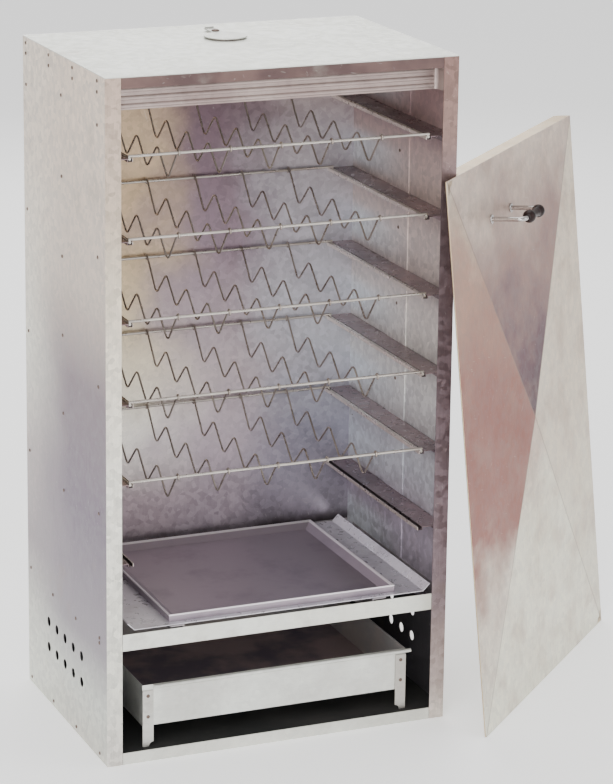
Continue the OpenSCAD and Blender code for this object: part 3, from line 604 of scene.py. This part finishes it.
FINISHES = {
    "left": side_finish("left_side_sheet", -1),
    "right": side_finish("right_side_sheet", 1),
    "top": top_finish(),
    "back": back_finish(),
    "rail": plain_zinc("rail_sheet", (232, 234, 226), (224, 224, 214), contrast=0.14),
    "ledge": plain_zinc("ledge_sheet", (160, 154, 156), (138, 130, 136), metal=0.6),
    "floor": floor_finish(),
    "runner": runner_finish(),
    "strap": side_finish("strap_sheet", 1),
    "lintel": plain_zinc("ribbed_strip", (186, 170, 164), (156, 138, 134), metal=0.6),
    "plate": plain_zinc("baffle_plate", (218, 216, 222), (196, 192, 202), metal=0.6, rough=(0.25, 0.4),
                        stain=(120, 108, 106), cover=0.42),
    "pan": pan_finish(),
    "tray": tray_finish(),
    "leg": plain_zinc("leg_sheet", (204, 204, 198), (184, 180, 174), crystals=0.005),
    "damper": plain_zinc("damper_sheet", (214, 214, 208), (200, 200, 194), contrast=0.12),
    "door": door_finish(),
    "door_edge": plain_zinc("door_edges", (216, 196, 164), (198, 176, 146), contrast=0.16),
    "wire": wire_finish("frame_wire", (206, 200, 192), (150, 138, 130), metal=0.85),
    "hook": wire_finish("hook_wire", (172, 162, 154), (124, 110, 102), metal=0.85, strength=0.6),
    "chrome": wire_finish("plated_rod", (176, 172, 170), (128, 120, 118), (0.08, 0.18)),
    "rivet": wire_finish("rivet_metal", (112, 96, 88), (70, 56, 48), (0.3, 0.5), metal=0.7),
    "grip": grip_finish(),
}


def paint_node(name, finish):
    piece = nodes_by_name[name]
    for slot in piece.material_slots:
        slot.material = FINISHES[finish]


# ---------------------------------------------------------------- mesh tools


def mesh_piece(name, build, finish, smooth=None):
    """Object from a function that fills a bmesh, with its normals made to point outwards."""
    shape = bmesh.new()
    build(shape)
    bmesh.ops.remove_doubles(shape, verts=shape.verts, dist=1e-6)
    bmesh.ops.recalc_face_normals(shape, faces=shape.faces)
    data = bpy.data.meshes.new(name)
    shape.to_mesh(data)
    shape.free()
    piece = bpy.data.objects.new(name, data)
    scene.collection.objects.link(piece)
    data.materials.append(FINISHES[finish])
    if smooth is not None:
        smooth_by_angle(piece, smooth)
    return piece


def smooth_by_angle(piece, angle):
    """Smooth shading, kept sharp where faces meet at more than this many degrees."""
    data = piece.data
    data.polygons.foreach_set("use_smooth", [True] * len(data.polygons))
    shape = bmesh.new()
    shape.from_mesh(data)
    for edge in shape.edges:
        edge.smooth = not edge.is_manifold or edge.calc_face_angle(0) < math.radians(angle)
    shape.to_mesh(data)
    shape.free()


def arc(centre, radius, first, last, steps):
    """Points of a flat arc, angles in degrees."""
    points = []
    for step in range(steps + 1):
        angle = math.radians(first + (last - first) * step / steps)
        points.append((centre[0] + radius * math.cos(angle), centre[1] + radius * math.sin(angle)))
    return points


def rounded(points, radius, steps=5):
    """Flat open route with each inner corner replaced by an arc."""
    route = [Vector(points[0])]
    for before, corner, after in zip(points, points[1:], points[2:]):
        before, corner, after = Vector(before), Vector(corner), Vector(after)
        back, ahead = (before - corner).normalized(), (after - corner).normalized()
        half = back.angle(ahead) / 2
        cut = min(radius / math.tan(half), 0.49 * (before - corner).length, 0.49 * (after - corner).length)
        centre = corner + (back + ahead).normalized() * (cut / math.cos(half))
        start, end = corner + back * cut, corner + ahead * cut
        for step in range(steps + 1):
            spoke = (start - centre).lerp(end - centre, step / steps).normalized()
            route.append(centre + spoke * (start - centre).length)
    route.append(Vector(points[-1]))
    return route


# ---------------------------------------------------------------- Geometry Nodes


class NodeTool(Shader):
    """Geometry Nodes tree with named inputs, run once and turned into a plain mesh."""

    def __init__(self, name, inputs):
        super().__init__(bpy.data.node_groups.new(name, "GeometryNodeTree"))
        self.sockets = {}
        self.tree.interface.new_socket("Geometry", in_out="INPUT", socket_type="NodeSocketGeometry")
        for label, kind, value in inputs:
            socket = self.tree.interface.new_socket(label, in_out="INPUT", socket_type=kind)
            if value is not None:
                socket.default_value = value
            self.sockets[label] = socket.identifier
        self.tree.interface.new_socket("Geometry", in_out="OUTPUT", socket_type="NodeSocketGeometry")
        self.given = self.node("NodeGroupInput").outputs
        self.result = self.node("NodeGroupOutput").inputs[0]

    def step(self, kind, **inputs):
        """First output of a new node with these inputs."""
        made = self.node(kind)
        for key, value in inputs.items():
            self.put(made.inputs[key.replace("_", " ")], value)
        return made.outputs[0]

    def finish(self, instances):
        """Instances made real and painted become the tree's result."""
        plain = self.step("GeometryNodeRealizeInstances", Geometry=instances)
        self.put(self.result, self.step("GeometryNodeSetMaterial", Geometry=plain,
                                        Material=self.given["Material"]))
        return self

    def run(self, name, source, finish, **values):
        """Mesh object made by this tree from a source mesh and these inputs."""
        carrier = bpy.data.objects.new(name + "_source", source)
        scene.collection.objects.link(carrier)
        modifier = carrier.modifiers.new("build", "NODES")
        modifier.node_group = self.tree
        values["Material"] = FINISHES[finish]
        for key, value in values.items():
            modifier[self.sockets[key.replace("_", " ")]] = value
        bpy.context.view_layer.update()
        evaluated = carrier.evaluated_get(bpy.context.evaluated_depsgraph_get())
        data = bpy.data.meshes.new_from_object(evaluated)
        data.name = name
        carrier.modifiers.clear()
        bpy.data.objects.remove(carrier)
        piece = bpy.data.objects.new(name, data)
        scene.collection.objects.link(piece)
        return piece


def wire_tool():
    """Round wire along every route of the source mesh, repeated in a row along X."""
    tool = NodeTool("wire_along_route", [
        ("Wire Diameter", FLOAT, 0.003), ("Sides", "NodeSocketInt", 12), ("Copies", "NodeSocketInt", 1),
        ("Spacing", FLOAT, 0.05), ("Material", "NodeSocketMaterial", None)])
    route = tool.step("GeometryNodeMeshToCurve", Mesh=tool.given["Geometry"])
    radius = tool.math("MULTIPLY", tool.given["Wire Diameter"], 0.5)
    ring = tool.step("GeometryNodeCurvePrimitiveCircle", Resolution=tool.given["Sides"], Radius=radius)
    wire = tool.step("GeometryNodeCurveToMesh", Curve=route, Profile_Curve=ring, Fill_Caps=True)
    spacing = tool.step("ShaderNodeCombineXYZ", X=tool.given["Spacing"])
    half = tool.math("MULTIPLY", tool.math("SUBTRACT", tool.given["Copies"], 1), -0.5)
    start = tool.node("ShaderNodeVectorMath", operation="SCALE")
    tool.put(start.inputs[0], spacing)
    tool.put(start.inputs["Scale"], half)
    row = tool.step("GeometryNodeMeshLine", Count=tool.given["Copies"], Offset=spacing,
                    Start_Location=start.outputs[0])
    return tool.finish(tool.step("GeometryNodeInstanceOnPoints", Points=row, Instance=wire))


def dome_tool():
    """Domed rivet heads on the source's points, turned to face one way."""
    tool = NodeTool("domed_heads", [
        ("Head Diameter", FLOAT, 0.0046), ("Head Height", FLOAT, 0.0012),
        ("Facing", "NodeSocketVector", None), ("Material", "NodeSocketMaterial", None)])
    ball = tool.step("GeometryNodeMeshUVSphere", Segments=16, Rings=12, Radius=1.0)
    half = tool.math("MULTIPLY", tool.given["Head Diameter"], 0.5)
    size = tool.step("ShaderNodeCombineXYZ", X=half, Y=half, Z=tool.given["Head Height"])
    turn = tool.step("FunctionNodeEulerToRotation", Euler=tool.given["Facing"])
    return tool.finish(tool.step("GeometryNodeInstanceOnPoints", Points=tool.given["Geometry"],
                                 Instance=ball, Rotation=turn, Scale=size))


WIRES, DOMES = wire_tool(), dome_tool()


def route_mesh(routes, closed=False):
    """Edge-only mesh with one chain of edges for each route of 3-D points."""
    data = bpy.data.meshes.new("route")
    points, edges = [], []
    for route in routes:
        first = len(points)
        points += [tuple(p) for p in route]
        edges += [(first + k, first + k + 1) for k in range(len(route) - 1)]
        if closed:
            edges.append((len(points) - 1, first))
    data.from_pydata(points, edges, [])
    return data


def point_mesh(points):
    data = bpy.data.meshes.new("points")
    data.from_pydata([tuple(p) for p in points], [], [])
    return data


def even(first, last, count):
    return [first + (last - first) * k / (count - 1) for k in range(count)]


# ---------------------------------------------------------------- racks

FRAME_WIRE, HOOK_WIRE, WIRE_END = 3.5 * MM, 2.4 * MM, 0.1 * MM
HOOKS, HOOK_SPACING, VALLEYS = 5, 65 * MM, 4
VALLEY_DROP, PEAK_DROP = 37.5 * MM, 6.5 * MM
HOOK_BEND, PLAY = 8 * MM, 0.2 * MM


def hook_route(front_y, back_y, wire_z):
    """Upright zigzag from the front wire to the back wire, hooked round both, in metres."""
    step = (back_y - front_y) / (2 * VALLEYS)
    loop = (FRAME_WIRE + HOOK_WIRE) / 2 + PLAY
    front = arc((0, 0), loop, 250, 45, 16)
    longer = 0.2 * HOOK_BEND
    zigzag = [(k * step, -VALLEY_DROP - longer if k % 2 else longer - PEAK_DROP)
              for k in range(1, 2 * VALLEYS)]
    back = [(2 * VALLEYS * step - y, z) for y, z in reversed(front)]
    middle = rounded([front[-1]] + zigzag + [back[0]], HOOK_BEND, 8)[1:-1]
    flat = [Vector(p) for p in front] + middle + [Vector(p) for p in back]
    return [(0, front_y + p[0], wire_z + p[1]) for p in flat]


def build_racks():
    for k in range(1, RACK_COUNT + 1):
        low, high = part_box("rack_frame_%d" % k)
        front_y, back_y = low[1] + FRAME_WIRE / 2, high[1] - FRAME_WIRE / 2
        cross_z, side_z = high[2] - FRAME_WIRE / 2, low[2] + FRAME_WIRE / 2
        side_x = high[0] - FRAME_WIRE / 2
        body = "rack_%d" % k
        routes = [[(low[0] + WIRE_END, y, cross_z), (high[0] - WIRE_END, y, cross_z)]
                  for y in (front_y, back_y)]
        routes += [[(x, low[1] + WIRE_END, side_z), (x, high[1] - WIRE_END, side_z)]
                   for x in (-side_x, side_x)]
        wires = WIRES.run("%s_frame_wires" % body, route_mesh(routes), "wire",
                          Wire_Diameter=FRAME_WIRE, Sides=16)
        smooth_by_angle(wires, 40)
        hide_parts("rack_frame_%d" % k)
        welds = [(x, y, (side_z + cross_z) / 2) for x in (-side_x, side_x) for y in (front_y, back_y)]
        beads = DOMES.run("%s_welds" % body, point_mesh(welds), "wire", Head_Diameter=FRAME_WIRE * 1.06,
                          Head_Height=1.1 * MM)
        smooth_by_angle(beads, 60)
        hooks = WIRES.run("%s_hook_wires" % body, route_mesh([hook_route(front_y, back_y, cross_z)]),
                          "hook", Wire_Diameter=HOOK_WIRE, Sides=10, Copies=HOOKS, Spacing=HOOK_SPACING)
        smooth_by_angle(hooks, 50)
        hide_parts("rack_hooks_%d" % k)
        for piece in (wires, beads, hooks):
            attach(piece, body)


# ---------------------------------------------------------------- rivets

RIVET_WIDE, RIVET_TALL = 4.6 * MM, 1.2 * MM
BASE_H, RAIL_Z, RAIL_H, STRAP_Y = 15 * MM, 0.147, 0.021, 0.006


def add_heads(name, node, points, facing, body="cabinet"):
    heads = DOMES.run(name, point_mesh(points), "rivet", Head_Diameter=RIVET_WIDE, Head_Height=RIVET_TALL,
                      Facing=facing)
    smooth_by_angle(heads, 60)
    if node:
        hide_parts(node)
    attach(heads, body)


def build_rivets():
    front_row, back_row = -HALF_DEPTH + 0.028, HALF_DEPTH - 0.012
    between = [FIRST_LEVEL + k * PITCH + PITCH / 2 for k in range(LEVEL_COUNT)]
    flat = [(y, z) for z in even(RAIL_Z + RAIL_H / 2, HEIGHT - 0.060, 5) for y in (front_row, back_row)]
    flat += [(STRAP_Y, z) for z in between]
    flat += [(y, z) for y in even(front_row, back_row, 4)
             for z in (BASE_H / 2, HEIGHT - 0.008, HEIGHT - 0.021)]
    flat += [(y, RAIL_Z + 0.004) for y in even(front_row, back_row, 4)[:3]]
    for side, word in ((-1, "left"), (1, "right")):
        add_heads("side_rivets_%s" % word, "rivets_%s" % word,
                  [(side * HALF_WIDTH, y, z) for y, z in flat], (0, side * math.pi / 2, 0))
    back = [(side * (HALF_WIDTH - 0.0075), HALF_DEPTH, z)
            for side in (-1, 1) for z in even(BASE_H / 2, HEIGHT - 0.008, 7)]
    add_heads("back_rivets", "rivets_back", back, (-math.pi / 2, 0, 0))
    inner = [(side * (HALF_WIDTH - 0.002), STRAP_Y, z) for side in (-1, 1) for z in between[:-1]]
    add_heads("strap_rivets", "rivets_inside", inner, (0, math.pi / 2, 0))
    low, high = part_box("fire_tray_rivets")
    leg_x = (high[0] - low[0]) / 2 - RIVET_WIDE / 2
    leg = [(side * leg_x, high[1], z) for side in (-1, 1)
           for z in (low[2] + RIVET_WIDE / 2, high[2] - RIVET_WIDE / 2)]
    add_heads("tray_rivet_heads", "fire_tray_rivets", leg, (math.pi / 2, 0, 0), "fire_tray")


# ---------------------------------------------------------------- door

LEAN, TURN = math.radians(5.75), math.radians(43.5)
OVERLAP, TOUCH, CROWN, LIP = 40 * MM, 0.3 * MM, 8 * MM, 8 * MM
HOOK_DEPTH, HOOK_GAP, HOOK_CUT = 22 * MM, 2 * MM, 6 * MM
HANDLE_X, HANDLE_Z, BAR_OUT, HANDLE_ARM = 170 * MM, 632 * MM, 45 * MM, 35 * MM
BORE = 3.06  # millimetres, radius through the grip and the nuts


def door_place():
    """Matrix from the upright door, left edge at x = 0 and back at y = 0, to where it leans."""
    away = Vector((math.sin(TURN), -math.cos(TURN), 0))
    along = Vector((math.cos(TURN), math.sin(TURN), 0))
    corner = Vector((HALF_WIDTH, -HALF_DEPTH, 0)) + TOUCH * away
    spot = corner - OVERLAP * along + DOOR_H * math.sin(LEAN) * away
    return Matrix.Translation(spot) @ Matrix.Rotation(TURN, 4, "Z") @ Matrix.Rotation(-LEAN, 4, "X")


DOOR_PLACE = door_place()


def swell(u, v):
    """How far the pressed face stands out at a share of the width and height."""
    return CROWN * 2 * min(u, 1 - u, v, 1 - v)


def build_door():
    across, upward = 24, 32
    us, vs = even(0, 1, across + 1), even(0, 1, upward + 1)

    def skin(shape):
        grid = {}
        for i, u in enumerate(us):
            for j, v in enumerate(vs):
                dent = 0.35 * MM * math.sin(7 * u + 2) * math.sin(5 * v + 1) * swell(u, v) / CROWN
                point = (u * DOOR_W, -DOOR_HEM - swell(u, v) + dent, v * DOOR_H)
                behind = (point[0], point[1] + SHEET, point[2])
                grid[i, j] = (shape.verts.new(point), shape.verts.new(behind))
        for i in range(across):
            for j in range(upward):
                cell = ((i, j), (i + 1, j), (i + 1, j + 1), (i, j + 1))
                for layer in (0, 1):
                    shape.faces.new([grid[corner][layer] for corner in cell])
        edge = [(i, 0) for i in range(across)] + [(across, j) for j in range(upward)]
        edge += [(i, upward) for i in range(across, 0, -1)] + [(0, j) for j in range(upward, 0, -1)]
        for here, there in zip(edge, edge[1:] + edge[:1]):
            shape.faces.new([grid[here][0], grid[there][0], grid[there][1], grid[here][1]])

    face = mesh_piece("door_face", skin, "door")
    layer = face.data.uv_layers.new(name="UVMap")
    for loop in face.data.loops:
        place = face.data.vertices[loop.vertex_index].co
        layer.data[loop.index].uv = (place.x / DOOR_W, place.z / DOOR_H)
    smooth_by_angle(face, 1.2)

    def rim(shape):
        # cross-section from the face's edge, round the fold, to the end of the inward lip
        section = rounded([(LIP, 0.5 * SHEET - DOOR_HEM), (0.5 * SHEET, 0.5 * SHEET - DOOR_HEM),
                           (0.5 * SHEET, -0.5 * SHEET), (LIP, -0.5 * SHEET)], 0.95 * MM, 4)
        rings = []
        for p, (inset, depth) in enumerate(section):
            ahead = section[min(p + 1, len(section) - 1)] - section[max(p - 1, 0)]
            side = Vector((-ahead[1], ahead[0])).normalized() * SHEET / 2
            for sign in (-1, 1):
                a, d = inset + sign * side[0], depth + sign * side[1]
                corners = [(a, a), (DOOR_W - a, a), (DOOR_W - a, DOOR_H - a), (a, DOOR_H - a)]
                rings.append([shape.verts.new((x, d, z)) for x, z in corners])
        count = len(section)
        order = [2 * p for p in range(count)] + [2 * p + 1 for p in reversed(range(count))]
        for first, second in zip(order, order[1:] + order[:1]):
            for k in range(4):
                shape.faces.new([rings[first][k], rings[first][(k + 1) % 4],
                                 rings[second][(k + 1) % 4], rings[second][k]])

    edge = mesh_piece("door_hem", rim, "door_edge", 35)

    def hook(shape):
        back = HOOK_DEPTH - DOOR_HEM
        start = OVERLAP + HOOK_GAP / math.cos(TURN)
        slant = math.tan(TURN)
        outline = rounded([(start + (back - HOOK_CUT) / 2 * slant, (back - HOOK_CUT) / 2),
                           (start + back * slant, back), (DOOR_W, back), (DOOR_W, -DOOR_HEM + 0.3 * MM)],
                          HOOK_CUT, 8)
        outline.append(Vector((start - (DOOR_HEM - 0.3 * MM) * slant, -DOOR_HEM + 0.3 * MM)))
        layers = [[shape.verts.new((x, y, z)) for x, y in outline] for z in (DOOR_H - SHEET, DOOR_H)]
        shape.faces.new(layers[0])
        shape.faces.new(layers[1])
        for k in range(len(outline)):
            after = (k + 1) % len(outline)
            shape.faces.new([layers[0][k], layers[0][after], layers[1][after], layers[1][k]])

    flange = mesh_piece("door_hook", hook, "door_edge", 35)

    face_y = -DOOR_HEM - CROWN * (DOOR_H - HANDLE_Z) / (DOOR_H / 2)
    bar_y = -DOOR_HEM - BAR_OUT
    flat = rounded([(-HANDLE_ARM, face_y + 8 * MM), (-HANDLE_ARM, bar_y), (HANDLE_ARM, bar_y),
                    (HANDLE_ARM, face_y + 8 * MM)], 8 * MM, 10)
    handle = WIRES.run("handle_rod", route_mesh([[(x + HANDLE_X, y, HANDLE_Z) for x, y in flat]]),
                       "chrome", Wire_Diameter=6 * MM, Sides=24)
    smooth_by_angle(handle, 40)

    def collars(shape):
        for x in (HANDLE_X - HANDLE_ARM, HANDLE_X + HANDLE_ARM):
            place = (Matrix.Translation((x, face_y - 0.2 * MM, HANDLE_Z))
                     @ Matrix.Rotation(math.pi / 2, 4, "X"))
            turned(shape, [(3.0, 0), (6.0, 0), (6.0, 0.9), (5.2, 1.5), (3.0, 1.5)], 32, place)

    washers = mesh_piece("handle_washers", collars, "chrome", 35)

    def spool(shape):
        ball, waist, middle = 8.25, 5.5, 16.75
        profile = [(BORE, -middle - 7.3)] + arc_profile(ball, middle, waist) + [(BORE, middle + 7.3)]
        place = Matrix.Translation((HANDLE_X, bar_y, HANDLE_Z)) @ Matrix.Rotation(math.pi / 2, 4, "Y")
        turned(shape, profile, 40, place)

    grip = mesh_piece("spool_grip", spool, "grip", 60)

    def nuts(shape):
        for x in (HANDLE_X - HANDLE_ARM, HANDLE_X + HANDLE_ARM):
            place = (Matrix.Translation((x, face_y + SHEET + 4.2 * MM, HANDLE_Z))
                     @ Matrix.Rotation(math.pi / 2, 4, "X"))
            turned(shape, [(BORE, 0), (5.4, 0), (6.0, 0.5), (6.0, 3.5), (5.4, 4.0), (BORE, 4.0)],
                   6, place)

    nut_pair = mesh_piece("hex_nuts", nuts, "rivet", 20)
    for piece in (face, edge, flange, handle, washers, grip, nut_pair):
        piece.data.transform(DOOR_PLACE)
        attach(piece, "door")
    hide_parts("door_panel")
    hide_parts("door_handle")
    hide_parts("door_grip")
    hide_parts("handle_nuts")


def arc_profile(ball, middle, waist):
    """Spool outline in millimetres: ball, hollow waist, ball."""
    half = [(ball * math.cos(math.radians(a)), middle + ball * math.sin(math.radians(a)))
            for a in (62, 45, 30, 15, 0, -15, -30, -42)]
    hollow = [(waist + 0.5, middle - 8.2), (waist, middle - 11.0), (waist - 0.2, 3.0), (waist - 0.2, 0.0)]
    upper = half + hollow
    return [(r, -z) for r, z in upper[:-1]] + upper[::-1]


def turned(shape, profile, sides, place):
    """Closed solid of revolution about Z from a profile of (radius, height) in millimetres."""
    rings = []
    for radius, height in profile:
        rings.append([shape.verts.new(place @ Vector((radius * MM * math.cos(2 * math.pi * k / sides),
                                                      radius * MM * math.sin(2 * math.pi * k / sides),
                                                      height * MM))) for k in range(sides)])
    for first, second in zip(rings, rings[1:] + rings[:1]):
        for k in range(sides):
            shape.faces.new([first[k], first[(k + 1) % sides], second[(k + 1) % sides], second[k]])


# ---------------------------------------------------------------- put together

FLOOR_HALF = 12


def lay_floor():
    """Pale studio floor that glows a little, so that it comes out close to white."""
    def plane(shape):
        shape.faces.new([shape.verts.new((x * FLOOR_HALF, y * FLOOR_HALF, 0))
                         for x, y in ((-1, -1), (1, -1), (1, 1), (-1, 1))])

    pale = Finish("pale_floor")
    tone = pale.mix(pale.noise(pale.place, 1.5, 2), srgb(250, 250, 250), srgb(253, 253, 253))
    FINISHES["floor_stage"] = pale.done(tone, 0.7, 0.0)
    pale.shader.inputs["Emission Color"].default_value = (1, 1, 1, 1)
    pale.shader.inputs["Emission Strength"].default_value = 0.45
    floor = mesh_piece("studio_floor", plane, "floor_stage")


aim_camera()
light_studio()
lay_floor()
for names, finish in (
    (["side_panel_left"], "left"), (["side_panel_right"], "right"), (["back_panel"], "back"),
    (["top_panel"], "top"), (["floor_panel"], "floor"), (["mid_rail"], "rail"),
    (["rear_ledge", "side_ledge_left", "side_ledge_right"], "ledge"),
    (["shelf_bearer_left", "shelf_bearer_right"], "ledge"), (["lintel_strip"], "lintel"),
    (["strap_left", "strap_right"], "strap"), (["shelf_plate"], "plate"), (["drip_pan"], "pan"),
    (["fire_tray"], "tray"), (["fire_tray_legs"], "leg"), (["damper_plate"], "damper"),
    (["damper_pivot"], "rivet"),
    (["runner_%s_%d" % (side, k) for side in ("left", "right") for k in range(1, LEVEL_COUNT + 1)],
     "runner"),
):
    for name in names:
        paint_node(name, finish)

build_racks()
build_rivets()
build_door()
